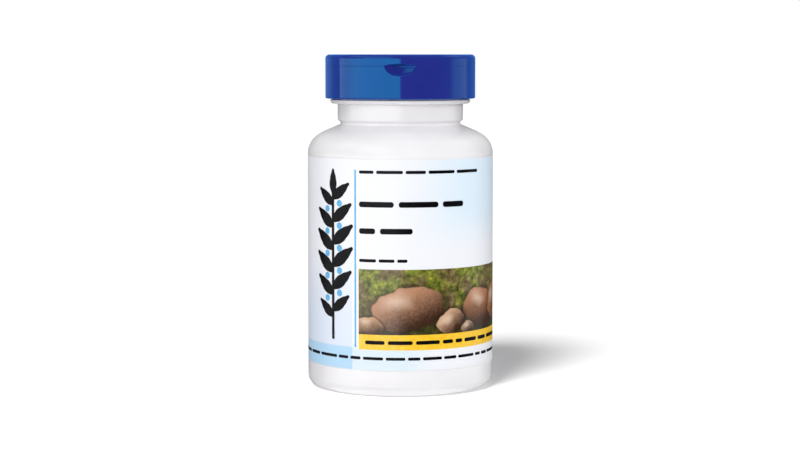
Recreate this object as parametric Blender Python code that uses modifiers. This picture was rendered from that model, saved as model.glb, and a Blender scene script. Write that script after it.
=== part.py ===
"""Capsule bottle with a screw-on flip-top closure.

Metres, +Z up. The origin is the centre of the ring that the bottle stands on, and the bottle's axis
is the Z axis. The front, with the thumb scoop and the label's main panel, faces -Y, and the lid's
hinge is at the back, on +Y.
"""

import math

import bmesh
import bpy
from mathutils import Vector

MM = 0.001
SEGMENTS = 48
MERGE_DISTANCE = 0.00001
SINK = 0.4 * MM  # how far a shape reaches into the one that it's joined to

# Driving dimensions
HEIGHT = 110.5 * MM
BODY_RADIUS = 31.0 * MM
CAP_RADIUS = 25.0 * MM
GAP = 0.3 * MM

# Bottle body
WALL = 1.0 * MM
PANEL_RADIUS = BODY_RADIUS - 0.5 * MM
PANEL_TOP = 77.2 * MM
PANEL_BOTTOM = 8.75 * MM
PANEL_STEP = 0.2 * MM
SHOULDER_EDGE_RADIUS = BODY_RADIUS - 0.05 * MM
SHOULDER_FALL = 0.42
SHOULDER_STRAIGHT = 4.0 * MM
SHOULDER_UPPER_HANDLE = 2.5 * MM
SHOULDER_LOWER_HANDLE = 5.5 * MM
SHOULDER_STEPS = 8
HEEL_RADIUS = 3.4 * MM
STAND_RING_INNER = 25.2 * MM
PUSH_UP = 3.2 * MM
PUSH_UP_SLOPE_WIDTH = 10.0 * MM

# Bottle neck, downwards from the land that the closure's deck sits over
LAND_Z = 105.0 * MM
BORE_RADIUS = 19.1 * MM
FINISH_RADIUS = 21.05 * MM
SUPPORT_RING_RADIUS = 23.3 * MM
SUPPORT_RING_TOP = 95.6 * MM
SUPPORT_RING_BOTTOM = 94.25 * MM
SUPPORT_RING_CORNER = 0.9 * MM
NECK_RADIUS = 20.9 * MM
NECK_BOTTOM = 88.8 * MM
GROOVE_RADIUS = 19.95 * MM
GROOVE_TOP = 88.0 * MM
GROOVE_BOTTOM = 87.75 * MM
NECK_FOOT_RADIUS = 20.3 * MM
NECK_FOOT_Z = 87.25 * MM

# Threads: a round bead on the neck and a slimmer one inside the collar, on one helix
THREAD_PITCH = 4.233 * MM
THREAD_TURNS = 1.2
THREAD_POINTS_PER_TURN = 32
THREAD_LOW_Z = 98.2 * MM
NECK_BEAD_RADIUS = 1.1 * MM
COLLAR_BEAD_RADIUS = 0.9 * MM
COLLAR_BEAD_DROP = 1.85 * MM
THREAD_RUN_OUT_POINTS = 5

# Label
LABEL_TOP = 76.9 * MM
LABEL_BOTTOM = 9.05 * MM
LABEL_THICKNESS = 0.25 * MM
LABEL_SEAM_ANGLE = math.radians(125)
LABEL_SEAM_GAP = math.radians(1)

# Closure
SEAM_Z = 106.7 * MM
COLLAR_BOTTOM = SUPPORT_RING_TOP + GAP
COLLAR_TOP = SEAM_Z - GAP / 2
COLLAR_INNER_RADIUS = 22.5 * MM
SKIRT_CORNER = 0.5 * MM
DECK_BOTTOM = LAND_Z + GAP
LID_BOTTOM = SEAM_Z + GAP / 2
LID_TOP_THICKNESS = 1.2 * MM
LID_INNER_RADIUS = 23.2 * MM
LID_TOP_FILLET = 1.4 * MM
SMALL_CHAMFER = 0.25 * MM

# Dispensing opening and the parts that close it
OPENING_RADIUS = 13.0 * MM
OPENING_Y = -4.0 * MM
LIP_RADIUS = 14.2 * MM
LIP_TOP = 107.9 * MM
PLUG_OUTER_RADIUS = OPENING_RADIUS - GAP
PLUG_INNER_RADIUS = PLUG_OUTER_RADIUS - 1.1 * MM
PLUG_BOTTOM = 105.9 * MM
SEAL_OUTER_RADIUS = BORE_RADIUS - GAP
SEAL_INNER_RADIUS = SEAL_OUTER_RADIUS - 1.0 * MM
SEAL_BOTTOM = 102.4 * MM

# Thumb scoop
SCOOP_HALF_WIDTH = 5.35 * MM
SCOOP_DEPTH = 1.9 * MM
SCOOP_DROP = 3.35 * MM
LIP_ARCH_RISE = 0.85 * MM

# Film hinge
HINGE_FLAT_Y = 23.9 * MM
HINGE_Y = 24.4 * MM
HINGE_WIDTH = 12.0 * MM
HINGE_FILM = 0.4 * MM
HINGE_HEIGHT = 2.6 * MM
HINGE_EDGE_RADIUS = 0.1 * MM
HINGE_NOTCH_WIDTH = 18.0 * MM
HINGE_NOTCH_BOTTOM = SEAM_Z - 2.5 * MM
HINGE_NOTCH_TOP = SEAM_Z + 2.4 * MM


def clear_scene():
    """Remove every object that the file opens with."""
    for old in list(bpy.data.objects):
        bpy.data.objects.remove(old, do_unlink=True)


def new_collection(name):
    """Add a collection to the scene."""
    collection = bpy.data.collections.new(name)
    bpy.context.scene.collection.children.link(collection)
    return collection


def new_material(name, colour, roughness):
    """A plastic with one colour, given as linear red, green and blue."""
    material = bpy.data.materials.new(name)
    material.use_nodes = True
    principled = material.node_tree.nodes["Principled BSDF"]
    principled.inputs["Base Color"].default_value = (*colour, 1.0)
    principled.inputs["Roughness"].default_value = roughness
    principled.inputs["Metallic"].default_value = 0.0
    material.diffuse_color = (*colour, 1.0)
    return material


def arc(centre, radius, start_deg, end_deg, steps):
    """Points of a round corner in the (radius, z) plane, both ends included."""
    points = []
    for step in range(steps + 1):
        angle = math.radians(start_deg + (end_deg - start_deg) * step / steps)
        points.append((centre[0] + radius * math.cos(angle), centre[1] + radius * math.sin(angle)))
    return points


def bezier(start, start_handle, end_handle, end, steps):
    """Points of a cubic curve in the (radius, z) plane, both ends included."""
    points = []
    for step in range(steps + 1):
        t = step / steps
        weights = ((1 - t) ** 3, 3 * t * (1 - t) ** 2, 3 * t**2 * (1 - t), t**3)
        corners = (start, start_handle, end_handle, end)
        points.append(tuple(sum(w * c[axis] for w, c in zip(weights, corners)) for axis in (0, 1)))
    return points


def shoulder(inset, end):
    """The shoulder from the neck's foot to the body, moved inwards from its slope by inset.

    The upper part falls gently in a straight line, and a curve turns it into the upright wall.
    """
    slope = Vector((1.0, -SHOULDER_FALL)).normalized()
    inwards = Vector((slope.y, -slope.x))
    foot = Vector((NECK_FOOT_RADIUS, NECK_FOOT_Z)) + inwards * inset
    bend = foot + slope * SHOULDER_STRAIGHT
    upper_handle = bend + slope * SHOULDER_UPPER_HANDLE
    lower_handle = (end[0], end[1] + SHOULDER_LOWER_HANDLE)
    return [tuple(foot)] + bezier(bend, upper_handle, lower_handle, end, SHOULDER_STEPS)


def base_slope(lift):
    """The slope from the standing ring in to the raised middle of the base, lifted by lift."""
    return bezier(
        (STAND_RING_INNER, lift),
        (STAND_RING_INNER - PUSH_UP_SLOPE_WIDTH / 4, lift),
        (STAND_RING_INNER - PUSH_UP_SLOPE_WIDTH / 2, lift + PUSH_UP),
        (STAND_RING_INNER - PUSH_UP_SLOPE_WIDTH, lift + PUSH_UP),
        5,
    )


def turned(name, profile, collection, closed=False):
    """A body of revolution about the object's Z axis, from a profile in the XZ plane."""
    vertices = [(radius, 0.0, z) for radius, z in profile]
    edges = [(i, i + 1) for i in range(len(profile) - 1)]
    if closed:
        edges.append((len(profile) - 1, 0))
    mesh = bpy.data.meshes.new(name)
    mesh.from_pydata(vertices, edges, [])
    turned_object = bpy.data.objects.new(name, mesh)
    collection.objects.link(turned_object)
    screw = turned_object.modifiers.new("Turn", "SCREW")
    screw.axis = "Z"
    screw.angle = math.tau
    screw.steps = SEGMENTS
    screw.render_steps = SEGMENTS
    screw.use_merge_vertices = True
    screw.merge_threshold = MERGE_DISTANCE
    screw.use_smooth_shade = True
    return turned_object


def add_boolean(target, other, operation):
    """Join the other object to the target, or cut it away."""
    boolean = target.modifiers.new(other.name, "BOOLEAN")
    boolean.operation = operation
    boolean.solver = "EXACT"
    boolean.object = other


def hide_cutter(cutter):
    """Show a cutter as a wire cage that isn't rendered."""
    cutter.hide_render = True
    cutter.display_type = "WIRE"


def move_to_collection(item, collection):
    """Move an object out of every collection that it's in and into this one."""
    for old in list(item.users_collection):
        old.objects.unlink(item)
    collection.objects.link(item)


def box_cutter(name, low, high, cutters):
    """A box between two corners."""
    bpy.ops.mesh.primitive_cube_add(size=1.0)
    box = bpy.context.object
    box.name = name
    box.scale = [b - a for a, b in zip(low, high)]
    box.location = [(a + b) / 2 for a, b in zip(low, high)]
    move_to_collection(box, cutters)
    hide_cutter(box)
    return box


def scoop_cutter(name, z_radius, cutters):
    """The ellipsoid that hollows the thumb scoop out of the front, centred on the seam."""
    bpy.ops.mesh.primitive_uv_sphere_add(segments=32, ring_count=16, radius=1.0)
    ellipsoid = bpy.context.object
    ellipsoid.name = name
    ellipsoid.scale = (SCOOP_HALF_WIDTH, SCOOP_DEPTH, z_radius)
    ellipsoid.location = (0.0, -CAP_RADIUS, SEAM_Z)
    move_to_collection(ellipsoid, cutters)
    hide_cutter(ellipsoid)
    return ellipsoid


def thread_bead(name, helix_radius, bead_radius, low_z, cutters):
    """A closed round bead on a right-hand helix, thinning out at both ends."""
    count = round(THREAD_TURNS * THREAD_POINTS_PER_TURN) + 1
    path = bpy.data.curves.new(name, "CURVE")
    path.dimensions = "3D"
    path.bevel_depth = bead_radius
    path.bevel_resolution = 2
    path.use_fill_caps = True
    spline = path.splines.new("POLY")
    spline.points.add(count - 1)
    for index, point in enumerate(spline.points):
        turns = index / THREAD_POINTS_PER_TURN
        angle = turns * math.tau
        from_end = min(index, count - 1 - index)
        point.co = (
            helix_radius * math.cos(angle),
            helix_radius * math.sin(angle),
            low_z + turns * THREAD_PITCH,
            1.0,
        )
        point.radius = min(1.0, 0.3 + 0.7 * from_end / THREAD_RUN_OUT_POINTS)
    curve_object = bpy.data.objects.new(name + "_path", path)
    cutters.objects.link(curve_object)
    bpy.context.view_layer.update()
    evaluated = curve_object.evaluated_get(bpy.context.evaluated_depsgraph_get())
    mesh = bpy.data.meshes.new_from_object(evaluated)
    welded = bmesh.new()
    welded.from_mesh(mesh)
    bmesh.ops.remove_doubles(welded, verts=welded.verts, dist=MERGE_DISTANCE)
    bmesh.ops.recalc_face_normals(welded, faces=welded.faces)
    welded.to_mesh(mesh)
    welded.free()
    bead = bpy.data.objects.new(name, mesh)
    bead.matrix_world = curve_object.matrix_world
    cutters.objects.link(bead)
    bpy.data.objects.remove(curve_object, do_unlink=True)
    hide_cutter(bead)
    return bead


def bottle_outside():
    """The bottle's outer profile from the land down to the centre of the base."""
    ring_corner = (
        SUPPORT_RING_RADIUS - SUPPORT_RING_CORNER,
        SUPPORT_RING_BOTTOM + SUPPORT_RING_CORNER,
    )
    finish = [
        (FINISH_RADIUS - SMALL_CHAMFER, LAND_Z),
        (FINISH_RADIUS, LAND_Z - SMALL_CHAMFER),
        (FINISH_RADIUS, SUPPORT_RING_TOP),
        (SUPPORT_RING_RADIUS - SMALL_CHAMFER, SUPPORT_RING_TOP),
        (SUPPORT_RING_RADIUS, SUPPORT_RING_TOP - SMALL_CHAMFER),
    ]
    finish += arc(ring_corner, SUPPORT_RING_CORNER, 0, -90, 4)
    neck = [
        (NECK_RADIUS, SUPPORT_RING_BOTTOM),
        (NECK_RADIUS, NECK_BOTTOM),
        (GROOVE_RADIUS, GROOVE_TOP),
        (GROOVE_RADIUS, GROOVE_BOTTOM),
    ]
    panel = [
        (PANEL_RADIUS, PANEL_TOP),
        (PANEL_RADIUS, PANEL_BOTTOM),
        (BODY_RADIUS, PANEL_BOTTOM - PANEL_STEP),
    ]
    upper = shoulder(0.0, (SHOULDER_EDGE_RADIUS, PANEL_TOP + PANEL_STEP))
    heel = arc((BODY_RADIUS - HEEL_RADIUS, HEEL_RADIUS), HEEL_RADIUS, 0, -90, 6)
    return finish + neck + upper + panel + heel + base_slope(0.0) + [(0.0, PUSH_UP)]


def bottle_inside():
    """The bottle's inner profile from the centre of the base up to the land."""
    inner_radius = PANEL_RADIUS - WALL
    inner_heel = HEEL_RADIUS - WALL
    floor = base_slope(WALL) + [(0.0, PUSH_UP + WALL)]
    heel = arc((inner_radius - inner_heel, WALL + inner_heel), inner_heel, -90, 0, 5)
    upper = shoulder(WALL, (inner_radius, PANEL_TOP - WALL))[1:]
    bore = [
        (BORE_RADIUS, upper[0][1] + (upper[0][0] - BORE_RADIUS) * SHOULDER_FALL),
        (BORE_RADIUS, LAND_Z - SMALL_CHAMFER),
        (BORE_RADIUS + SMALL_CHAMFER, LAND_Z),
    ]
    return floor[::-1] + heel + upper[::-1] + bore


def build_bottle(parts, cutters, white):
    """The bottle, one hollow body of revolution with the neck's thread bead joined on."""
    bottle = turned("bottle", bottle_inside() + bottle_outside(), parts)
    bottle.data.materials.append(white)
    bead = thread_bead("neck_thread_bead", FINISH_RADIUS, NECK_BEAD_RADIUS, THREAD_LOW_Z, cutters)
    add_boolean(bottle, bead, "UNION")
    return bottle


def build_label(parts, film):
    """The label, a film bent round the body, open by a hair at the back."""
    mesh = bpy.data.meshes.new("label")
    mesh.from_pydata([(BODY_RADIUS, 0.0, LABEL_TOP), (BODY_RADIUS, 0.0, LABEL_BOTTOM)], [(0, 1)], [])
    label = bpy.data.objects.new("label", mesh)
    parts.objects.link(label)
    label.rotation_euler.z = LABEL_SEAM_ANGLE + LABEL_SEAM_GAP / 2
    wrap = label.modifiers.new("Wrap", "SCREW")
    wrap.axis = "Z"
    wrap.angle = math.tau - LABEL_SEAM_GAP
    wrap.steps = SEGMENTS
    wrap.render_steps = SEGMENTS
    wrap.use_smooth_shade = True
    film_thickness = label.modifiers.new("Film", "SOLIDIFY")
    film_thickness.thickness = LABEL_THICKNESS
    film_thickness.offset = -1.0
    label.data.materials.append(film)
    return label


def build_collar(parts, cutters, blue):
    """The closure's screw-on part: skirt, deck, raised lip, opening, scoop and hinge flat."""
    profile = (
        [
            (0.0, COLLAR_TOP),
            (CAP_RADIUS - SMALL_CHAMFER, COLLAR_TOP),
            (CAP_RADIUS, COLLAR_TOP - SMALL_CHAMFER),
        ]
        + arc((CAP_RADIUS - SKIRT_CORNER, COLLAR_BOTTOM + SKIRT_CORNER), SKIRT_CORNER, 0, -90, 3)
        + [
            (COLLAR_INNER_RADIUS + SMALL_CHAMFER, COLLAR_BOTTOM),
            (COLLAR_INNER_RADIUS, COLLAR_BOTTOM + SMALL_CHAMFER),
            (COLLAR_INNER_RADIUS, DECK_BOTTOM),
            (0.0, DECK_BOTTOM),
        ]
    )
    collar = turned("closure_collar", profile, parts)
    collar.data.materials.append(blue)

    lip_profile = [
        (0.0, LIP_TOP),
        (LIP_RADIUS - SMALL_CHAMFER, LIP_TOP),
        (LIP_RADIUS, LIP_TOP - SMALL_CHAMFER),
        (LIP_RADIUS, COLLAR_TOP - SINK),
        (0.0, COLLAR_TOP - SINK),
    ]
    lip = turned("opening_lip", lip_profile, cutters)
    lip.location.y = OPENING_Y
    hide_cutter(lip)
    add_boolean(collar, lip, "UNION")

    bead = thread_bead(
        "collar_thread_bead",
        COLLAR_INNER_RADIUS,
        COLLAR_BEAD_RADIUS,
        THREAD_LOW_Z - COLLAR_BEAD_DROP + THREAD_PITCH / 4,
        cutters,
    )
    bead.rotation_euler.z = math.radians(90)
    add_boolean(collar, bead, "UNION")

    bpy.ops.mesh.primitive_cylinder_add(vertices=SEGMENTS, radius=OPENING_RADIUS, depth=OPENING_RADIUS)
    opening = bpy.context.object
    opening.name = "dispensing_opening"
    opening.location = (0.0, OPENING_Y, SEAM_Z)
    move_to_collection(opening, cutters)
    hide_cutter(opening)
    add_boolean(collar, opening, "DIFFERENCE")

    add_boolean(collar, scoop_cutter("thumb_scoop", SCOOP_DROP, cutters), "DIFFERENCE")
    notch = box_cutter(
        "collar_hinge_notch",
        (-HINGE_NOTCH_WIDTH / 2, HINGE_FLAT_Y, HINGE_NOTCH_BOTTOM),
        (HINGE_NOTCH_WIDTH / 2, CAP_RADIUS + 1.0 * MM, SEAM_Z + 1.0 * MM),
        cutters,
    )
    add_boolean(collar, notch, "DIFFERENCE")
    return collar


def build_lid(parts, cutters, blue):
    """The flip-up lid: a shallow cap with a plug ring, an arched lip and a hinge flat."""
    corner = (CAP_RADIUS - LID_TOP_FILLET, HEIGHT - LID_TOP_FILLET)
    ceiling = HEIGHT - LID_TOP_THICKNESS
    profile = (
        [(0.0, HEIGHT)]
        + arc(corner, LID_TOP_FILLET, 90, 0, 5)
        + [
            (CAP_RADIUS, LID_BOTTOM + SMALL_CHAMFER),
            (CAP_RADIUS - SMALL_CHAMFER, LID_BOTTOM),
            (LID_INNER_RADIUS + SMALL_CHAMFER, LID_BOTTOM),
            (LID_INNER_RADIUS, LID_BOTTOM + SMALL_CHAMFER),
            (LID_INNER_RADIUS, ceiling),
            (0.0, ceiling),
        ]
    )
    lid = turned("lid", profile, parts)
    lid.data.materials.append(blue)

    plug_profile = [
        (PLUG_OUTER_RADIUS, ceiling + SINK),
        (PLUG_OUTER_RADIUS, PLUG_BOTTOM + SMALL_CHAMFER),
        (PLUG_OUTER_RADIUS - SMALL_CHAMFER, PLUG_BOTTOM),
        (PLUG_INNER_RADIUS, PLUG_BOTTOM),
        (PLUG_INNER_RADIUS, ceiling + SINK),
    ]
    plug = turned("lid_plug_ring", plug_profile, cutters, closed=True)
    plug.location.y = OPENING_Y
    hide_cutter(plug)
    add_boolean(lid, plug, "UNION")

    add_boolean(lid, scoop_cutter("lip_arch", LIP_ARCH_RISE, cutters), "DIFFERENCE")
    notch = box_cutter(
        "lid_hinge_notch",
        (-HINGE_NOTCH_WIDTH / 2, HINGE_FLAT_Y, SEAM_Z - 1.0 * MM),
        (HINGE_NOTCH_WIDTH / 2, CAP_RADIUS + 1.0 * MM, HINGE_NOTCH_TOP),
        cutters,
    )
    add_boolean(lid, notch, "DIFFERENCE")
    return lid


def build_hinge_web(parts, blue):
    """The film between the collar's flat and the lid's flat, at the back."""
    bpy.ops.mesh.primitive_cube_add(size=1.0)
    web = bpy.context.object
    web.name = "hinge_web"
    web.scale = (HINGE_WIDTH, HINGE_FILM, HINGE_HEIGHT)
    bpy.ops.object.transform_apply(location=False, rotation=False, scale=True)
    move_to_collection(web, parts)
    edges = web.modifiers.new("Edges", "BEVEL")
    edges.width = HINGE_EDGE_RADIUS
    edges.segments = 2
    web.location = (0.0, HINGE_Y, SEAM_Z)
    web.data.materials.append(blue)
    return web


def build_plug_seal(parts, blue):
    """The ring below the deck that seals inside the bore."""
    profile = [
        (SEAL_OUTER_RADIUS, LAND_Z),
        (SEAL_OUTER_RADIUS, SEAL_BOTTOM + 2 * SMALL_CHAMFER),
        (SEAL_OUTER_RADIUS - 2 * SMALL_CHAMFER, SEAL_BOTTOM),
        (SEAL_INNER_RADIUS, SEAL_BOTTOM),
        (SEAL_INNER_RADIUS, LAND_Z),
    ]
    seal = turned("closure_plug_seal", profile, parts, closed=True)
    seal.data.materials.append(blue)
    return seal


def add_axis(name, location, parts):
    """An empty on a joint's axis."""
    empty = bpy.data.objects.new(name, None)
    empty.empty_display_size = 5.0 * MM
    empty.location = location
    parts.objects.link(empty)
    return empty


def carry(child, parent):
    """Parent a piece that is modelled in place, so that it stays where it is."""
    child.parent = parent
    child.location = child.location - parent.location


def main():
    """Build every piece and hang the moving ones on their axes."""
    clear_scene()
    parts = new_collection("capsule_bottle")
    cutters = new_collection("cutters")
    white = new_material("white_pet", (0.87, 0.87, 0.88), 0.28)
    film = new_material("label_film", (0.80, 0.88, 0.94), 0.35)
    blue = new_material("blue_polypropylene", (0.016, 0.085, 0.40), 0.30)

    build_bottle(parts, cutters, white)
    build_label(parts, film)
    collar = build_collar(parts, cutters, blue)
    seal = build_plug_seal(parts, blue)
    web = build_hinge_web(parts, blue)
    lid = build_lid(parts, cutters, blue)

    screw_axis = add_axis("closure_screw_axis", (0.0, 0.0, COLLAR_BOTTOM), parts)
    hinge_axis = add_axis("lid_hinge_axis", (0.0, HINGE_Y, SEAM_Z), parts)
    for piece in (collar, seal, web):
        carry(piece, screw_axis)
    carry(lid, hinge_axis)
    carry(hinge_axis, screw_axis)


main()
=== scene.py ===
"""Looks of a capsule bottle with a blue flip-top closure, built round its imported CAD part.

The frame is the CAD's own: metres, +Z up, the bottle's axis on the Z axis, its standing ring at z = 0, the
thumb scoop and the label's main panel towards -Y and the lid's film hinge towards +Y. The classes hold
their sizes in millimetres, as a drawing does, and MM turns them into metres.
"""

import logging
import math
import random
from collections.abc import Callable, Iterator, Sequence
from contextlib import contextmanager
from dataclasses import dataclass
from enum import Enum
from itertools import pairwise
from typing import Any

import bmesh
import bpy
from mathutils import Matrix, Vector


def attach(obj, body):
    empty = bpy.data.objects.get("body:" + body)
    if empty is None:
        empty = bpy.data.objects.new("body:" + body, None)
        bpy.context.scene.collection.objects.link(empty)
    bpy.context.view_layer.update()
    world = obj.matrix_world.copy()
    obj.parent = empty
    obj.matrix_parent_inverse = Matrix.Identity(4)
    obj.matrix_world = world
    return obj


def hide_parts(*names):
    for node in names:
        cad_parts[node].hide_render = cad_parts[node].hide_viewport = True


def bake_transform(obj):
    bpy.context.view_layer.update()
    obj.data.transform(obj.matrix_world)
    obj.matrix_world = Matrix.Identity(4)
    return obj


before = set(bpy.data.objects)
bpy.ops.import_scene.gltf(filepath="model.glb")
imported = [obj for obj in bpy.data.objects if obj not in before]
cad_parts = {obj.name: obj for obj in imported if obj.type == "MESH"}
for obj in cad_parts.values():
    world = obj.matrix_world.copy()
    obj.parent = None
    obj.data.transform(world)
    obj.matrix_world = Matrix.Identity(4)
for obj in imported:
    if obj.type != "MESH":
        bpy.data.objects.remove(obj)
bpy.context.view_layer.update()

MM = 0.001
WELD = 0.001 * MM
LATHE_STEPS = 128
UPRIGHT = (math.pi / 2, 0.0, 0.0)

Object = bpy.types.Object
Point = tuple[float, float]
Corner = tuple[float, float, float]
Colour = tuple[float, float, float, float]
Stops = tuple[tuple[float, str], ...]

log = logging.getLogger("capsule_bottle")


class Combine(Enum):
    """What a second shape does to the first."""

    ADD = "UNION"
    CUT = "DIFFERENCE"


class Slot(Enum):
    """The record's material slots."""

    WHITE = "white_pet"
    LABEL = "label_film"
    BLUE = "blue_polypropylene"


class Receiver(Enum):
    """What a lamp lights: only the floor, or all but the floor."""

    FLOOR = "INCLUDE"
    BOTTLE = "EXCLUDE"


# Outlines


def filleted(corners: Sequence[Corner], steps: int = 6) -> list[Point]:
    """Round the corners of an open outline.

    Args:
        corners: Across, up and fillet radius of each corner, in millimetres. The two ends stay sharp.
        steps: How many straight lines make each round corner.

    Returns:
        The outline's points, in millimetres.
    """
    points = [corners[0][:2]]
    for before, here, after in zip(corners, corners[1:], corners[2:], strict=False):
        corner, radius = Vector(here[:2]), here[2]
        if radius == 0:
            points.append(here[:2])
            continue
        back = (Vector(before[:2]) - corner).normalized()
        onward = (Vector(after[:2]) - corner).normalized()
        half = back.angle(onward) / 2
        centre = corner + (back + onward).normalized() * radius / math.sin(half)
        start = corner + back * radius / math.tan(half) - centre
        end = corner + onward * radius / math.tan(half) - centre
        points += [tuple(centre + start.slerp(end, step / steps) * radius) for step in range(steps + 1)]
    points.append(corners[-1][:2])
    return points


def curve(start: Point, leave: Point, arrive: Point, end: Point, steps: int) -> list[Corner]:
    """Points of a cubic curve, as corners that need no fillet.

    Args:
        start: Where the curve begins.
        leave: The handle that it leaves towards.
        arrive: The handle that it arrives from.
        end: Where the curve ends.
        steps: How many straight lines make the curve.

    Returns:
        The points, with both ends, each with a fillet radius of 0.
    """
    corners = []
    for step in range(steps + 1):
        t = step / steps
        weights = ((1 - t) ** 3, 3 * t * (1 - t) ** 2, 3 * t**2 * (1 - t), t**3)
        across, up = (
            sum(w * p[axis] for w, p in zip(weights, (start, leave, arrive, end), strict=True))
            for axis in (0, 1)
        )
        corners.append((across, up, 0.0))
    return corners


# Modelling by operators


def pick_only(piece: Object) -> None:
    """Leave one object selected and active.

    Args:
        piece: The object to work on.
    """
    bpy.ops.object.select_all(action="DESELECT")
    piece.select_set(True)
    bpy.context.view_layer.objects.active = piece


@contextmanager
def editing(piece: Object) -> Iterator[None]:
    """Work on one piece in edit mode, with all of its mesh selected at first.

    Args:
        piece: The object to work on.
    """
    pick_only(piece)
    bpy.ops.object.mode_set(mode="EDIT")
    bpy.ops.mesh.select_mode(type="VERT")
    bpy.ops.mesh.select_all(action="SELECT")
    yield
    bpy.ops.object.mode_set(mode="OBJECT")


def newly_added(name: str, size: Corner = (1.0, 1.0, 1.0)) -> Object:
    """Name and size the primitive that was just added, and put its place into its mesh.

    Args:
        name: The piece's name.
        size: How much larger it is made along each axis.

    Returns:
        The piece, its object at the origin.
    """
    piece = bpy.context.object
    piece.name = piece.data.name = name
    piece.scale = size
    settle(piece)
    return piece


def settle(piece: Object) -> None:
    """Put an object's place, turn and scale into its mesh."""
    pick_only(piece)
    bpy.ops.object.transform_apply(location=True, rotation=True, scale=True)


def select_where(piece: Object, test: Callable[[Vector], bool]) -> None:
    """Select, in edit mode, the vertices of a mesh whose place passes a test.

    Args:
        piece: The object in edit mode.
        test: Called with each vertex's place, in millimetres.
    """
    bpy.ops.mesh.select_all(action="DESELECT")
    mesh = bmesh.from_edit_mesh(piece.data)
    for vertex in mesh.verts:
        if test(vertex.co / MM):
            vertex.select_set(True)
    bmesh.update_edit_mesh(piece.data)


def apply_modifiers(piece: Object) -> None:
    """Apply all of a piece's modifiers, in their order.

    Args:
        piece: The piece to finish.
    """
    pick_only(piece)
    for modifier in list(piece.modifiers):
        bpy.ops.object.modifier_apply(modifier=modifier.name)


def turned(name: str, outline: Sequence[Point], axis_y: float = 0.0, steps: int = LATHE_STEPS) -> Object:
    """Turn an outline about an upright axis.

    Args:
        name: The new piece's name.
        outline: Radius and height of each point. A ring's outline ends where it began, and that of a full
            body begins and ends on the axis.
        axis_y: Where the axis stands on Y.
        steps: How many facets go round.

    Returns:
        The closed piece, its faces outwards.
    """
    bpy.ops.object.select_all(action="DESELECT")
    radius, height = outline[0]
    bpy.ops.mesh.primitive_plane_add(size=MM, location=(radius * MM, axis_y * MM, height * MM))
    piece = newly_added(name)
    with editing(piece):
        bpy.ops.mesh.merge(type="CENTER")
        for here, after in pairwise(outline):
            step = ((after[0] - here[0]) * MM, 0.0, (after[1] - here[1]) * MM)
            bpy.ops.mesh.extrude_vertices_move(TRANSFORM_OT_translate={"value": step})
        bpy.ops.mesh.select_all(action="SELECT")
        bpy.ops.mesh.spin(steps=steps, angle=math.tau, center=(0, axis_y * MM, 0), axis=(0, 0, 1))
        bpy.ops.mesh.select_all(action="SELECT")
        bpy.ops.mesh.remove_doubles(threshold=WELD)
        bpy.ops.mesh.normals_make_consistent(inside=False)
    return piece


def combine(piece: Object, other: Object, how: Combine) -> None:
    """Join a second shape to a piece or cut it away, and remove the second shape.

    Args:
        piece: The piece to change.
        other: The second shape.
        how: Whether it is added or cut.
    """
    modifier = piece.modifiers.new(other.name, "BOOLEAN")
    modifier.operation, modifier.solver, modifier.object = how.value, "EXACT", other
    apply_modifiers(piece)
    bpy.data.objects.remove(other)
    with editing(piece):
        bpy.ops.mesh.dissolve_degenerate(threshold=3 * WELD)


def smooth(piece: Object, sharp_from: float = 20.0) -> None:
    """Shade a moulded piece smoothly, its flat walls truly flat and its crisp edges crisp.

    Args:
        piece: The finished piece.
        sharp_from: Edges that turn by more than this, in degrees, stay crisp.
    """
    pick_only(piece)
    bpy.ops.object.shade_smooth_by_angle(angle=math.radians(sharp_from))
    normals = piece.modifiers.new("Flat walls", "WEIGHTED_NORMAL")
    normals.keep_sharp = True
    apply_modifiers(piece)


@dataclass(frozen=True)
class Thread:
    """A round thread bead on a right-hand helix, thinning out at both ends."""

    helix_radius: float
    bead_radius: float
    low_z: float
    start_angle: float
    pitch: float = 4.233
    turns: float = 1.2
    steps: int = 58
    run_out: int = 8
    thinnest: float = 0.3

    def build(self, name: str) -> Object:
        """Model the bead, closed at both ends.

        Args:
            name: The bead's name.

        Returns:
            The bead.
        """
        bpy.ops.object.select_all(action="DESELECT")
        bpy.ops.mesh.primitive_circle_add(
            vertices=20,
            radius=self.bead_radius * MM,
            fill_type="NOTHING",
            location=(self.helix_radius * MM, 0.0, self.low_z * MM),
            rotation=UPRIGHT,
        )
        bead = newly_added(name)
        helix = bead.modifiers.new("Helix", "SCREW")
        helix.angle = self.turns * math.tau
        helix.screw_offset = self.turns * self.pitch * MM
        helix.steps = helix.render_steps = self.steps
        apply_modifiers(bead)
        with editing(bead):
            for step in range(self.run_out):
                size = self.thinnest + (1 - self.thinnest) * step / self.run_out
                for ring in (step, self.steps - step):
                    self._thin_ring(bead, ring, size)
            bpy.ops.mesh.select_all(action="SELECT")
            bpy.ops.mesh.fill_holes(sides=0)
            bpy.ops.mesh.select_all(action="SELECT")
            bpy.ops.mesh.normals_make_consistent(inside=False)
        bead.rotation_euler.z = math.radians(self.start_angle)
        settle(bead)
        return bead

    def _thin_ring(self, bead: Object, ring: int, size: float) -> None:
        """Shrink one ring of the bead about its own middle.

        Args:
            bead: The bead, in edit mode.
            ring: Which ring, counted from the low end.
            size: The ring's new size, as a share of the full one.
        """
        share = ring / self.steps
        angle = share * self.turns * math.tau
        middle = Vector((
            self.helix_radius * math.cos(angle),
            self.helix_radius * math.sin(angle),
            self.low_z + share * self.turns * self.pitch,
        ))
        select_where(bead, lambda place: (place - middle).length < 1.05 * self.bead_radius)
        bpy.ops.transform.resize(value=(size, size, size), center_override=middle * MM)


# Finishes


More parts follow.
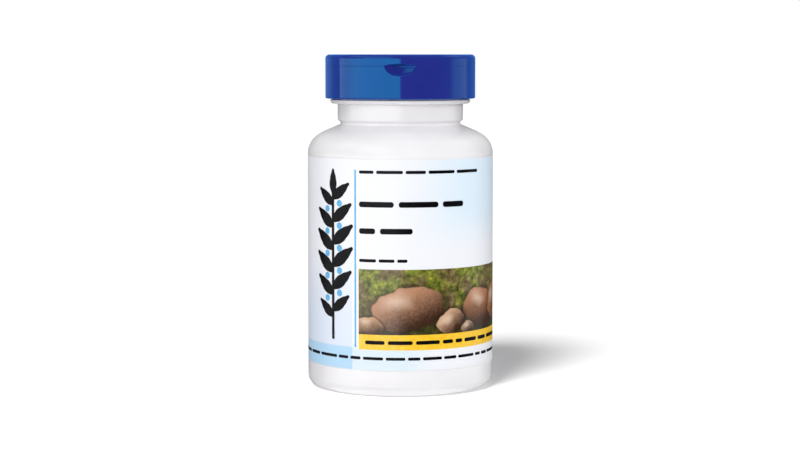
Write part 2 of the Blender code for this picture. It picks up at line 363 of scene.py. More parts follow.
def linear(code: str) -> Colour:
    """Turn an sRGB hex colour into the linear colour that a shader takes.

    Args:
        code: The colour, as in #2a6cb0.

    Returns:
        Linear red, green and blue, with an alpha of 1.
    """
    shares = [int(code[place : place + 2], 16) / 255 for place in (1, 3, 5)]
    red, green, blue = (s / 12.92 if s <= 0.04045 else ((s + 0.055) / 1.055) ** 2.4 for s in shares)
    return red, green, blue, 1.0


def add_node(
    tree: bpy.types.NodeTree,
    kind: str,
    inputs: dict[int | str, Any] | None = None,
    stops: Stops = (),
    **settings: Any,
) -> bpy.types.Node:
    """Add a node with its settings, its values and its links.

    Args:
        tree: The tree to add it to.
        kind: The node's type, without its ShaderNode.
        inputs: By the input's name or place, a value for it or the output that feeds it.
        stops: Places and hex colours of a colour ramp.
        settings: Properties of the node itself.

    Returns:
        The new node.
    """
    node = tree.nodes.new("ShaderNode" + kind)
    for name, value in settings.items():
        setattr(node, name, value)
    for name, value in (inputs or {}).items():
        if isinstance(value, bpy.types.NodeSocket):
            tree.links.new(value, node.inputs[name])
        else:
            node.inputs[name].default_value = value
    for place, (at, code) in enumerate(stops):
        elements = node.color_ramp.elements
        stop = elements[place] if place < 2 else elements.new(at)
        stop.position, stop.color = at, linear(code)
    return node


def start_material(name: str, **shader: Any) -> tuple[bpy.types.Material, bpy.types.Node]:
    """Start a material from its surface shader.

    Args:
        name: The material's name.
        shader: Values of the shader's inputs, with _ for each space in a name.

    Returns:
        The material and its surface shader.
    """
    material = bpy.data.materials.new(name)
    material.use_nodes = True
    surface = material.node_tree.nodes["Principled BSDF"]
    for key, value in shader.items():
        surface.inputs[key.replace("_", " ")].default_value = value
    return material, surface


@dataclass(frozen=True)
class Mottle:
    """Two shades that a surface's colour wanders between, in patches as wide as the grain."""

    grain_mm: float
    stops: Stops
    distortion: float = 0.0

    def lay(self, surface: bpy.types.Node, coordinates: bpy.types.NodeSocket) -> None:
        """Colour a surface.

        Args:
            surface: The surface shader.
            coordinates: The coordinates, in metres.
        """
        tree = surface.id_data
        scale = 1 / (self.grain_mm * MM)
        noise = add_node(
            tree,
            "TexNoise",
            {"Vector": coordinates, "Scale": scale, "Detail": 2.0, "Distortion": self.distortion},
        )
        tone = add_node(tree, "ValToRGB", {0: noise.outputs[0]}, stops=self.stops)
        tree.links.new(tone.outputs[0], surface.inputs["Base Color"])


@dataclass(frozen=True)
class Ripple:
    """How a surface's gloss and level wander: how widely, from which to which roughness and how deep."""

    grain_mm: float
    glossiest: float
    dullest: float
    depth_mm: float

    def lay(self, surface: bpy.types.Node, coordinates: bpy.types.NodeSocket) -> None:
        """Roughen a surface.

        Args:
            surface: The surface shader.
            coordinates: The coordinates, in metres.
        """
        tree = surface.id_data
        scale = 1 / (self.grain_mm * MM)
        noise = add_node(
            tree, "TexNoise", {"Vector": coordinates, "Scale": scale, "Detail": 3.0, "Roughness": 0.55}
        ).outputs[0]
        roughness = {"To Min": self.glossiest, "To Max": self.dullest}
        gloss = add_node(tree, "MapRange", {"Value": noise, "From Min": 0.3, "From Max": 0.7} | roughness)
        depth = self.depth_mm * MM
        bump = add_node(tree, "Bump", {"Strength": 1.0, "Distance": depth, "Height": noise})
        tree.links.new(gloss.outputs[0], surface.inputs["Roughness"])
        tree.links.new(bump.outputs[0], surface.inputs["Normal"])


@dataclass(frozen=True)
class BlownWhitePet:
    """White PET, stretch-blown in a polished mould: glossy, dense white, with a faint long ripple."""

    ior: float = 1.57
    clouds: Mottle = Mottle(22.0, ((0.35, "#e9e7ea"), (0.65, "#f1f0f2")))
    ripple: Ripple = Ripple(7.0, 0.14, 0.22, 0.006)

    def material(self) -> bpy.types.Material:
        """Make the material.

        Returns:
            The material.
        """
        material, surface = start_material("white_pet_blow_moulded", IOR=self.ior)
        place = add_node(material.node_tree, "TexCoord").outputs["Object"]
        self.clouds.lay(surface, place)
        self.ripple.lay(surface, place)
        return material


@dataclass(frozen=True)
class MouldedPolypropylene:
    """Ultramarine polypropylene, injection-moulded in a polished tool: smooth, with an azure gloss."""

    gloss_tint: str = "#00cbee"
    sheen_tint: str = "#0890ff"
    ior: float = 1.49
    specular_level: float = 1.0
    sheen: float = 0.6
    sheen_roughness: float = 0.5
    swirls: Mottle = Mottle(12.0, ((0.3, "#242581"), (0.7, "#262885")), distortion=1.2)
    ripple: Ripple = Ripple(9.0, 0.07, 0.11, 0.004)

    def material(self) -> bpy.types.Material:
        """Make the material.

        Returns:
            The material.
        """
        material, surface = start_material(
            "blue_polypropylene_moulded",
            IOR=self.ior,
            Specular_IOR_Level=self.specular_level,
            Specular_Tint=linear(self.gloss_tint),
            Sheen_Weight=self.sheen,
            Sheen_Roughness=self.sheen_roughness,
            Sheen_Tint=linear(self.sheen_tint),
        )
        place = add_node(material.node_tree, "TexCoord").outputs["Object"]
        self.swirls.lay(surface, place)
        self.ripple.lay(surface, place)
        return material


@dataclass(frozen=True)
class PrintInk:
    """Flexographic ink under a gloss varnish: an even colour that mottles a little, as ink on film does."""

    name: str
    colour: str
    mottled: str
    specular_level: float = 0.5
    ior: float = 1.5
    mottle_mm: float = 1.6
    ripple: Ripple = Ripple(6.0, 0.22, 0.30, 0.002)

    def material(self) -> bpy.types.Material:
        """Make the material.

        Returns:
            The material.
        """
        material, surface = start_material(
            self.name, IOR=self.ior, Specular_IOR_Level=self.specular_level
        )
        place = add_node(material.node_tree, "TexCoord").outputs["Object"]
        Mottle(self.mottle_mm, ((0.4, self.mottled), (0.65, self.colour))).lay(surface, place)
        self.ripple.lay(surface, place)
        return material


@dataclass(frozen=True)
class Zone:
    """A rectangle of tint on the label. Each edge fades between its two places."""

    tint: str
    left: Point
    right: Point
    bottom: Point
    top: Point


@dataclass(frozen=True)
class VarnishedFilm:
    """White polypropylene film, printed in pale blue tints and varnished: satin, with soft-edged zones."""

    width: float
    height: float
    left: float
    bottom: float
    ior: float = 1.5
    specular_level: float = 0.3
    ripple: Ripple = Ripple(14.0, 0.28, 0.34, 0.002)
    paper: str = "#f0f2f8"
    zones: tuple[Zone, ...] = (
        Zone("#dfe8f7", (-50.0, -49.0), (-16.5, -16.0), (9.0, 9.1), (22.0, 50.0)),
        Zone("#ddeefb", (0.0, 26.0), (44.0, 54.0), (46.0, 62.0), (76.8, 76.9)),
        Zone("#dceaf6", (-16.5, -16.0), (-1.0, 13.0), (8.0, 9.0), (15.0, 18.0)),
        Zone("#b6daf5", (-52.0, -51.0), (-16.5, -16.0), (8.0, 9.0), (15.8, 16.4)),
    )

    def material(self) -> bpy.types.Material:
        """Make the material.

        Returns:
            The material.
        """
        material, surface = start_material(
            "label_film_varnished", IOR=self.ior, Specular_IOR_Level=self.specular_level
        )
        tree = material.node_tree
        across, up = self._across_and_up(tree)
        colour = add_node(tree, "RGB").outputs[0]
        colour.default_value = linear(self.paper)
        for zone in self.zones:
            share = None
            for value, edges in ((across, (zone.left, zone.right)), (up, (zone.bottom, zone.top))):
                for (low, high), (start, end) in zip(edges, ((0.0, 1.0), (1.0, 0.0)), strict=True):
                    edge = add_node(
                        tree,
                        "MapRange",
                        {"Value": value, "From Min": low, "From Max": high, "To Min": start, "To Max": end},
                        interpolation_type="SMOOTHSTEP",
                    ).outputs[0]
                    share = edge if share is None else add_node(
                        tree, "Math", {0: share, 1: edge}, operation="MULTIPLY"
                    ).outputs[0]
            colour = add_node(
                tree, "Mix", {0: share, 6: colour, 7: linear(zone.tint)}, data_type="RGBA"
            ).outputs[2]
        tree.links.new(colour, surface.inputs["Base Color"])
        self.ripple.lay(surface, add_node(tree, "TexCoord").outputs["Object"])
        return material

    def _across_and_up(self, tree: bpy.types.NodeTree) -> list[bpy.types.NodeSocket]:
        """Read the print's millimetres across and up from the film's own map.

        Args:
            tree: The material's tree.

        Returns:
            The two outputs.
        """
        place = add_node(tree, "UVMap", uv_map="UVMap").outputs[0]
        parts = add_node(tree, "SeparateXYZ", {0: place})
        return [
            add_node(
                tree, "Math", {0: parts.outputs[axis], 1: length, 2: start}, operation="MULTIPLY_ADD"
            ).outputs[0]
            for axis, length, start in ((0, self.width, self.left), (1, self.height, self.bottom))
        ]


@dataclass(frozen=True)
class Stone:
    """A smooth stone in the printed picture: its middle, its two half sizes, its turn and its lit colour."""

    across: float
    up: float
    wide: float
    high: float
    turn: float
    lit: str


@dataclass(frozen=True)
class PrintedPicture:
    """A varnished four-colour picture of brown stones lying in moss, softly focused as a close-up is."""

    width: float
    height: float
    ior: float = 1.5
    ripple: Ripple = Ripple(6.0, 0.20, 0.28, 0.002)
    moss: Stops = ((0.30, "#262b10"), (0.72, "#d2cf4a"), (0.43, "#59621f"), (0.57, "#8b9230"))
    soil: Stops = ((0.30, "#3a2f22"), (0.72, "#9c8a60"), (0.52, "#6f6038"))
    moss_mm: float = 2.2
    soil_mm: float = 9.0
    wobble_mm: float = 4.0
    wobble_depth: float = 2.6
    grain_mm: float = 0.9
    grain_share: float = 0.7
    light_from: Corner = (-0.45, 0.85, 0.0)
    shine_at: Corner = (-0.3, 0.42, 0.0)
    dusk_top: float = 0.55
    shade: str = "#20180f"
    deep: str = "#3c2416"
    gloss: str = "#f0d8c2"
    stones: tuple[Stone, ...] = (
        Stone(45.5, 7.6, 9.6, 6.2, -14.0, "#b27a56"),
        Stone(58.5, 9.2, 7.8, 6.8, 30.0, "#a2683f"),
        Stone(16.5, 8.3, 12.4, 7.0, 8.0, "#bd8a6a"),
        Stone(31.5, 4.0, 5.6, 3.9, 20.0, "#cda382"),
        Stone(3.6, 2.6, 4.8, 3.1, -8.0, "#c0946e"),
        Stone(38.3, 1.6, 3.0, 2.0, 5.0, "#a98c74"),
    )

    def material(self) -> bpy.types.Material:
        """Make the material.

        Returns:
            The material.
        """
        material, surface = start_material("label_picture_printed", IOR=self.ior)
        tree = material.node_tree
        place = add_node(tree, "UVMap", uv_map="UVMap").outputs[0]
        place = add_node(
            tree, "VectorMath", {0: place, 1: (self.width, self.height, 1.0)}, operation="MULTIPLY"
        ).outputs[0]
        colour = self._moss(tree, place)
        grain = add_node(tree, "TexNoise", {"Vector": place, "Scale": 1 / self.grain_mm, "Detail": 4.0})
        wobble = add_node(tree, "TexNoise", {"Vector": place, "Scale": 1 / self.wobble_mm, "Detail": 1.5})
        wavy = add_node(
            tree, "VectorMath", {0: wobble.outputs["Color"], 1: (0.5, 0.5, 0.5)}, operation="SUBTRACT"
        )
        depth = (self.wobble_depth, self.wobble_depth, 0.0)
        wavy = add_node(
            tree, "VectorMath", {0: wavy.outputs[0], 1: depth, 2: place}, operation="MULTIPLY_ADD"
        ).outputs[0]
        for stone in self.stones:
            colour = self._lay_stone(tree, colour, wavy, grain.outputs[0], stone)
        tree.links.new(colour, surface.inputs["Base Color"])
        self.ripple.lay(surface, add_node(tree, "TexCoord").outputs["Object"])
        return material

    def _moss(self, tree: bpy.types.NodeTree, place: bpy.types.NodeSocket) -> bpy.types.NodeSocket:
        """Lay the picture's ground of moss and soil.

        Args:
            tree: The material's tree.
            place: The picture's millimetres.

        Returns:
            The ground's colour.
        """
        tufts = add_node(
            tree, "TexNoise", {"Vector": place, "Scale": 1 / self.moss_mm, "Detail": 5.0, "Roughness": 0.62}
        )
        moss, soil = (
            add_node(tree, "ValToRGB", {0: tufts.outputs[0]}, stops=stops).outputs[0]
            for stops in (self.moss, self.soil)
        )
        patch = add_node(tree, "TexNoise", {"Vector": place, "Scale": 1 / self.soil_mm, "Detail": 2.0})
        share = add_node(
            tree,
            "MapRange",
            {"Value": patch.outputs[0], "From Min": 0.42, "From Max": 0.58},
            interpolation_type="SMOOTHSTEP",
        )
        ground = add_node(
            tree, "Mix", {0: share.outputs[0], 6: moss, 7: soil}, data_type="RGBA"
        ).outputs[2]
        up = add_node(tree, "SeparateXYZ", {0: place}).outputs[1]
        top = self.dusk_top * self.height
        dusk = add_node(
            tree,
            "MapRange",
            {"Value": up, "From Min": 0.0, "From Max": top, "To Min": 0.75, "To Max": 0.0},
            interpolation_type="SMOOTHSTEP",
        ).outputs[0]
        return add_node(
            tree, "Mix", {0: dusk, 6: ground, 7: linear(self.shade)}, data_type="RGBA"
        ).outputs[2]

    def _lay_stone(
        self,
        tree: bpy.types.NodeTree,
        under: bpy.types.NodeSocket,
        place: bpy.types.NodeSocket,
        grain: bpy.types.NodeSocket,
        stone: Stone,
    ) -> bpy.types.NodeSocket:
        """Lay one stone and its shadow over what is there.

        Args:
            tree: The material's tree.
            under: The colour so far.
            place: The picture's millimetres.
            grain: A fine mottle.
            stone: The stone to lay.

        Returns:
            The colour with the stone.
        """
        own = add_node(
            tree,
            "Mapping",
            {
                "Vector": place,
                "Location": (stone.across, stone.up, 0.0),
                "Rotation": (0.0, 0.0, math.radians(stone.turn)),
                "Scale": (stone.wide, stone.high, 1.0),
            },
            vector_type="TEXTURE",
        ).outputs[0]
        away = add_node(tree, "VectorMath", {0: own}, operation="LENGTH").outputs["Value"]
        shadow, body = (
            add_node(
                tree,
                "MapRange",
                {"Value": away, "From Min": low, "From Max": high, "To Min": most, "To Max": 0.0},
                interpolation_type="SMOOTHSTEP",
            ).outputs[0]
            for low, high, most in ((0.9, 1.35, 0.8), (0.95, 1.03, 1.0))
        )
        facing = add_node(
            tree, "VectorMath", {0: own, 1: self.light_from}, operation="DOT_PRODUCT"
        ).outputs["Value"]
        light = add_node(
            tree, "Math", {0: grain, 1: self.grain_share, 2: facing}, operation="MULTIPLY_ADD"
        ).outputs[0]
        light = add_node(
            tree,
            "MapRange",
            {"Value": light, "From Min": -0.5, "From Max": 1.3},
            interpolation_type="SMOOTHSTEP",
        ).outputs[0]
        skin = add_node(
            tree, "Mix", {0: light, 6: linear(self.deep), 7: linear(stone.lit)}, data_type="RGBA"
        ).outputs[2]
        aside = add_node(
            tree, "VectorMath", {0: own, 1: self.shine_at}, operation="DISTANCE"
        ).outputs["Value"]
        shine = add_node(
            tree,
            "MapRange",
            {"Value": aside, "From Min": 0.0, "From Max": 0.6, "To Min": 0.5, "To Max": 0.0},
            interpolation_type="SMOOTHSTEP",
        ).outputs[0]
        skin = add_node(tree, "Mix", {0: shine, 6: skin, 7: linear(self.gloss)}, data_type="RGBA").outputs[2]
        under = add_node(
            tree, "Mix", {0: shadow, 6: under, 7: linear(self.shade)}, data_type="RGBA"
        ).outputs[2]
        return add_node(tree, "Mix", {0: body, 6: under, 7: skin}, data_type="RGBA").outputs[2]


def dress(piece: Object, material: bpy.types.Material) -> None:
    """Give a piece its finish.

    Args:
        piece: The finished piece.
        material: Its material.
    """
    piece.data.materials.clear()
    piece.data.materials.append(material)


# Sub-assemblies


@dataclass
class Bottle:
    """The blow-moulded bottle: threaded neck with its support ring, shoulder, label panel, heel and base."""

    body_radius: float = 31.0
    panel_radius: float = 30.85
    panel_top: float = 77.2
    panel_bottom: float = 8.75
    panel_slope: float = 0.2
    wall: float = 1.0
    extra_wall: float = 0.5
    land_z: float = 105.0
    bore_radius: float = 19.1
    finish_radius: float = 21.05
    ring_radius: float = 23.3
    ring_top: float = 95.6
    ring_bottom: float = 94.25
    neck_radius: float = 20.9
    neck_bottom: float = 88.8
    groove_radius: float = 19.95
    groove_top: float = 88.0
    groove_bottom: float = 87.7
    foot: Point = (20.3, 87.25)
    shoulder_fall: float = 0.42
    shoulder_straight: float = 4.0
    shoulder_handles: Point = (2.5, 5.5)
    shoulder_steps: int = 18
    heel_radius: float = 3.4
    standing_inner: float = 25.2
    push_up: float = 3.2
    gate_radius: float = 1.1
    gate_depth: float = 0.45
    slope_width: float = 10.0
    slope_steps: int = 10
    thread: Thread = Thread(helix_radius=21.05, bead_radius=1.1, low_z=98.2, start_angle=0.7)
    finish: BlownWhitePet = BlownWhitePet()

    def shoulder(self, inset: float, end: Point) -> list[Corner]:
        """The shoulder from the neck's foot to the upright wall.

        Args:
            inset: How far inside the outer surface it runs.
            end: Where it meets the upright wall.

        Returns:
            The shoulder's corners.
        """
        slope = Vector((1.0, -self.shoulder_fall)).normalized()
        foot = Vector(self.foot) + Vector((slope.y, -slope.x)) * inset
        bend = foot + slope * self.shoulder_straight
        leave = bend + slope * self.shoulder_handles[0]
        arrive = (end[0], end[1] + self.shoulder_handles[1])
        return [(foot.x, foot.y, 0.3)] + curve(tuple(bend), tuple(leave), arrive, end, self.shoulder_steps)

    def base_slope(self, lift: float) -> list[Corner]:
        """The slope from the standing ring in to the raised middle of the base.

        Args:
            lift: How far above the outer surface it runs.

        Returns:
            The slope's corners, inwards.
        """
        outer, width = self.standing_inner, self.slope_width
        raised = lift + self.push_up
        handles = (outer - width / 4, lift), (outer - width / 2, raised)
        return curve((outer, lift), *handles, (outer - width, raised), self.slope_steps)

    def outline(self) -> list[Point]:
        """Draw the whole wall's outline.

        Returns:
            Its points, up the inside and down the outside.
        """
        inner_radius = self.body_radius - self.extra_wall - self.wall
        inner_heel = self.heel_radius - self.wall
        inner_shoulder = self.shoulder(self.wall, (inner_radius, self.panel_top - self.wall))[1:]
        throat = inner_shoulder[0][1] + (inner_shoulder[0][0] - self.bore_radius) * self.shoulder_fall
        inside = [(0.0, self.push_up + self.wall, 0.0)]
        inside += self.base_slope(self.wall)[::-1]
        inside += [(inner_radius, self.wall, inner_heel)]
        inside += inner_shoulder[::-1]
        inside += [(self.bore_radius, throat, 0.5), (self.bore_radius, self.land_z, 0.25)]
        finish = [
            (self.finish_radius, self.land_z, 0.25),
            (self.finish_radius, self.ring_top, 0.2),
            (self.ring_radius, self.ring_top, 0.25),
            (self.ring_radius, self.ring_bottom, 0.9),
            (self.neck_radius, self.ring_bottom, 0.25),
            (self.neck_radius, self.neck_bottom, 0.5),
            (self.groove_radius, self.groove_top, 0.15),
            (self.groove_radius, self.groove_bottom, 0.15),
        ]
        panel = [
            (self.panel_radius, self.panel_top, 0.06),
            (self.panel_radius, self.panel_bottom, 0.06),
            (self.body_radius, self.panel_bottom - self.panel_slope, 0.06),
            (self.body_radius, 0.0, self.heel_radius),
        ]
        pit = self.push_up - self.gate_depth
        gate = [(self.gate_radius + 0.4, self.push_up, 0.1), (self.gate_radius, pit, 0.15), (0.0, pit, 0.0)]
        upper = self.shoulder(0.0, (self.body_radius - 0.05, self.panel_top + self.panel_slope))
        return filleted(inside + finish + upper + panel + self.base_slope(0.0) + gate)

    def build(self) -> Object:
        """Model the bottle in place and dress it.

        Returns:
            The bottle.
        """
        piece = turned("bottle_moulding", self.outline())
        combine(piece, self.thread.build("neck_thread"), Combine.ADD)
        smooth(piece)
        dress(piece, self.finish.material())
        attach(piece, "bottle")
        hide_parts("bottle")
        return piece


@dataclass(frozen=True)
class Bar:
    """A round-cornered printed bar, from its left bottom corner."""

    left: float
    bottom: float
    width: float
    height: float


@dataclass(frozen=True)
class Line:
    """A line of print between a left and a right end, filled with bars as long as words.

    The bars' lengths, which the seed picks, and the gap between two are given in bar heights.
    """

    left: float
    right: float
    bottom: float
    height: float
    seed: int
    longest: float = 9.0
    shortest: float = 2.2
    gap: float = 0.9

    def bars(self) -> list[Bar]:
        """Fill the line.

        Returns:
            The bars, from the left.
        """
        lengths = random.Random(self.seed)
        bars, at = [], self.left
        while at < self.right - 2 * self.height:
            width = min(self.height * lengths.uniform(self.shortest, self.longest), self.right - at)
            bars.append(Bar(at, self.bottom, width, self.height))
            at += width + self.gap * self.height
        return bars


@dataclass(frozen=True)
class Block:
    """A block of small print, its lines as far apart as its pitch and some of them shorter."""

    left: float
    right: float
    top: float
    lines: int
    pitch: float
    seed: int
    longest: float
    short_every: int
    short_by: float
    height: float = 0.75

    def bars(self) -> list[Bar]:
        """Fill the block.

        Returns:
            The bars, from the top line down.
        """
        bars = []
        for row in range(self.lines):
            right = self.right - (self.short_by if row % self.short_every == self.short_every - 1 else 0.0)
            up = self.top - row * self.pitch
            bars += Line(self.left, right, up, self.height, self.seed + row, self.longest).bars()
        return bars


@dataclass(frozen=True)
class Table:
    """A ruled table of small print: a column of names and two columns of amounts."""

    left: float
    top: float
    width: float
    rows: int
    pitch: float
    seed: int
    height: float = 0.75
    longest: float = 7.0
    indent: float = 1.0
    names_width: float = 19.5
    names_step: float = 5.0
    amounts: Point = (28.5, 42.0)
    amount_widths: Point = (4.5, 5.5)
    amounts_step: Point = (1.5, 1.0)
    rule_drop: float = 1.3
    rule_height: float = 0.18

    def bars(self) -> list[Bar]:
        """Fill the table, its rows differing in how long they are.

        Returns:
            The bars and rules, from the top row down.
        """
        bars = []
        for row in range(self.rows):
            up = self.top - row * self.pitch
            start, end = self.left + self.indent, self.left + self.names_width - self.names_step * (row % 3)
            bars += Line(start, end, up, self.height, self.seed + row, self.longest).bars()
            first, second = (self.left + across for across in self.amounts)
            bars += [
                Bar(first - self.amounts_step[0] * (row % 2), up, self.amount_widths[0], self.height),
                Bar(second, up, self.amount_widths[1] - self.amounts_step[1] * (row % 3), self.height),
                Bar(self.left, up - self.rule_drop, self.width, self.rule_height),
            ]
        return bars


@dataclass
class Label:
    """The printed film: its picture and band, a plain sprig, bars for lines of print, lapped at the back."""

    radius: float = 31.0
    top: float = 76.9
    bottom: float = 8.85
    left: float = -78.4
    right: float = 120.4
    lap_from: float = 113.4
    lap_steps: int = 3
    lap_rise: float = 0.05
    thickness: float = 0.12
    ink_thickness: float = 0.05
    ink_lift: float = 0.03
    column: float = 1.1
    bar_round: float = 0.42
    panel_left: float = -13.9
    panel_right: float = 52.0
    picture_bottom: float = 20.45
    picture_top: float = 41.6
    band_bottom: float = 15.5
    sprig_across: float = -24.2
    sprig_bottom: float = 25.5
    sprig_step: float = 7.3
    side_shift: float = 1.9
    leaf_pairs: int = 6
    least_leaf: float = 0.78
    leaf_swell: float = 0.3
    leaf_size: Point = (8.6, 3.5)
    leaf_tip: float = 0.12
    leaf_belly: float = 1.12
    belly_span: Point = (0.2, 0.6)
    leaf_turn: float = 52.0
    top_leaf_z: float = 65.5
    top_leaf_size: float = 0.85
    stem_size: Point = (1.1, 48.5)
    stem_bottom: float = 18.0
    berry_radius: float = 1.1
    berry_aside: float = 2.8
    berry_rise: float = 5.9
    front_lines: tuple[Line, ...] = (
        Line(-13.7, 31.4, 72.4, 1.0, 3, 14.0),
        Line(-13.7, 22.1, 61.6, 1.8, 5),
        Line(-13.7, 7.6, 53.0, 1.8, 8, 6.0),
        Line(-13.7, 4.1, 43.9, 1.0, 9, 10.0),
        Line(-11.6, 49.5, 17.3, 1.2, 12),
        Line(-49.0, 50.0, 12.2, 0.95, 14),
    )
    side_print: tuple[Block | Table, ...] = (
        Block(-75.0, -55.0, 71.0, 17, pitch=3.1, seed=40, longest=8.0, short_every=6, short_by=7.6),
        Block(58.5, 108.0, 71.0, 7, pitch=2.7, seed=70, longest=9.0, short_every=7, short_by=16.0),
        Table(58.5, 48.5, 50.0, 9, pitch=3.3, seed=90),
    )
    rule: Bar = Bar(-15.4, 16.1, 0.6, 57.5)
    dark: PrintInk = PrintInk("ink_black", "#08080b", "#0e0e12", 0.1)
    blue: PrintInk = PrintInk("ink_light_blue", "#4fa8dc", "#5fb2e2")
    yellow: PrintInk = PrintInk("ink_warm_yellow", "#fcd03e", "#f9c52e")

    def sheet(self, name: str, left: float, right: float, bottom: float, top: float, lift: float) -> Object:
        """Lay out a flat upright sheet that faces the front, in columns that can bend.

        Args:
            name: The sheet's name.
            left: Its left edge.
            right: Its right edge.
            bottom: Its lower edge.
            top: Its upper edge.
            lift: How far it stands in front of the film's face.

        Returns:
            The sheet, with a map of its own from corner to corner.
        """
        bpy.ops.object.select_all(action="DESELECT")
        bpy.ops.mesh.primitive_grid_add(
            x_subdivisions=max(1, round((right - left) / self.column)),
            y_subdivisions=1,
            size=MM,
            rotation=UPRIGHT,
            location=((left + right) / 2 * MM, -lift * MM, (bottom + top) / 2 * MM),
        )
        return newly_added(name, (right - left, top - bottom, 1.0))

    def wrap(self, piece: Object, thickness: float) -> None:
        """Thicken a flat sheet inwards and bend it round the bottle.

        Args:
            piece: The flat sheet.
            thickness: Its thickness.
        """
        body = piece.modifiers.new("Thickness", "SOLIDIFY")
        body.thickness, body.offset = thickness * MM, -1.0
        apply_modifiers(piece)
        places = [vertex.co.x for vertex in piece.data.vertices]
        bend = piece.modifiers.new("Wrap", "SIMPLE_DEFORM")
        bend.deform_method, bend.deform_axis = "BEND", "Z"
        bend.angle = (max(places) - min(places)) / (self.radius * MM)
        apply_modifiers(piece)
        piece.location.y = -self.radius * MM
        settle(piece)
        pick_only(piece)
        bpy.ops.object.shade_smooth_by_angle(angle=math.radians(32.0))

    def hang(self, piece: Object, material: bpy.types.Material) -> Object:
        """Dress a finished piece of the label, stick it to the bottle and return it."""
        dress(piece, material)
        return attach(piece, "bottle")

    def build_film(self) -> Object:
        """Model the film, one end lapped over the other at the back.

        Returns:
            The film.
        """
        film = self.sheet("label_film", self.left, self.right, self.bottom, self.top, 0.0)
        with editing(film):
            for step in range(self.lap_steps):
                edge = self.lap_from + step * self.column
                select_where(film, lambda place, edge=edge: place.x > edge)
                bpy.ops.transform.translate(value=(0.0, -self.lap_rise * MM, 0.0))
        self.wrap(film, self.thickness)
        finish = VarnishedFilm(self.right - self.left, self.top - self.bottom, self.left, self.bottom)
        self.hang(film, finish.material())
        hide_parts("label")
        return film

    def build_block(self, name: str, bottom: float, top: float, material: bpy.types.Material) -> Object:
        """Model a block of print as wide as the main panel, a separate layer on the film.

        Args:
            name: The block's name.
            bottom: Its lower edge.
            top: Its upper edge.
            material: Its material.

        Returns:
            The block.
        """
        block = self.sheet(name, self.panel_left, self.panel_right, bottom, top, self.ink_lift)
        self.wrap(block, self.ink_thickness)
        return self.hang(block, material)

    def build_picture(self) -> Object:
        """Model the printed picture."""
        finish = PrintedPicture(self.panel_right - self.panel_left, self.picture_top - self.picture_bottom)
        return self.build_block("label_picture", self.picture_bottom, self.picture_top, finish.material())

    def build_band(self) -> Object:
        """Model the yellow band below the picture."""
        finish = self.yellow.material()
        return self.build_block("label_band", self.band_bottom, self.picture_bottom, finish)

    def add_bars(self, bars: Sequence[Bar]) -> None:
        """Add round-cornered bars to the flat ink that is in edit mode.

        Args:
            bars: The bars to add.
        """
        for bar in bars:
            over_band = self.band_bottom < bar.bottom < self.picture_bottom and bar.left > self.panel_left
            lift = self.ink_lift * (2 if over_band else 1)
            middle = Vector((bar.left + bar.width / 2, -lift, bar.bottom + bar.height / 2)) * MM
            bpy.ops.mesh.primitive_plane_add(size=MM, location=middle, rotation=UPRIGHT)
            bpy.ops.transform.resize(value=(bar.width, 1.0, bar.height), center_override=middle)
            radius = self.bar_round * min(bar.height, bar.width) * MM
            bpy.ops.mesh.bevel(affect="VERTICES", offset=radius, segments=4)

    def add_berry(self, across: float, up: float) -> None:
        """Add a berry to the flat ink that is in edit mode.

        Args:
            across: The berry's middle across.
            up: The berry's middle up.
        """
        bpy.ops.mesh.primitive_circle_add(
            vertices=28,
            radius=self.berry_radius * MM,
            fill_type="NGON",
            location=Vector((across, -1.5 * self.ink_lift, up)) * MM,
            rotation=UPRIGHT,
        )

    def leaf(self) -> Object:
        """Model one pointed leaf, flat, its stalk at the origin and its tip along +X.

        Returns:
            The leaf.
        """
        origin = (0.0, 0.0, 0.0)
        length, height = self.leaf_size
        bpy.ops.object.select_all(action="DESELECT")
        bpy.ops.mesh.primitive_circle_add(
            vertices=24, radius=0.5 * MM, fill_type="NGON", rotation=UPRIGHT, location=(0.5 * MM, 0.0, 0.0)
        )
        piece = newly_added("leaf")
        with editing(piece):
            bpy.ops.transform.resize(value=(length, 1.0, height), center_override=origin)
            select_where(piece, lambda place: place.x > 0.97 * length)
            bpy.ops.transform.translate(value=(self.leaf_tip * length * MM, 0.0, 0.0))
            low, high = (share * length for share in self.belly_span)
            select_where(piece, lambda place: low < place.x < high)
            bpy.ops.transform.resize(value=(1.0, 1.0, self.leaf_belly), center_override=origin)
        return piece

    def stagger(self, side: int) -> float:
        """How far up one side of the sprig is shifted, -1 being its left side and 1 its right."""
        return self.side_shift if side > 0 else 0.0

    def lay_sprig(self, ink: Object) -> None:
        """Lay the sprig's leaves along its stem and join them to the dark ink.

        Args:
            ink: The dark ink, flat.
        """
        master = self.leaf()
        leaves = []
        for pair in range(self.leaf_pairs):
            share = (pair + 0.8) / (self.leaf_pairs + 0.6)
            size = self.least_leaf + self.leaf_swell * math.sin(math.pi * share)
            for side in (-1, 1):
                up = self.sprig_bottom + pair * self.sprig_step + self.stagger(side)
                leaves.append((up, 90 - side * self.leaf_turn, size))
        leaves.append((self.top_leaf_z, 90, self.top_leaf_size))
        copies = []
        for up, turn, size in leaves:
            copy = master.copy()
            copy.data = master.data.copy()
            bpy.context.scene.collection.objects.link(copy)
            copy.location = Vector((self.sprig_across, -self.ink_lift, up)) * MM
            copy.rotation_euler.y = -math.radians(turn)
            copy.scale = (size, 1.0, size)
            copies.append(copy)
        bpy.data.objects.remove(master)
        pick_only(ink)
        for copy in copies:
            copy.select_set(True)
        bpy.ops.object.join()
        with editing(ink):
            bpy.ops.mesh.normals_make_consistent(inside=False)

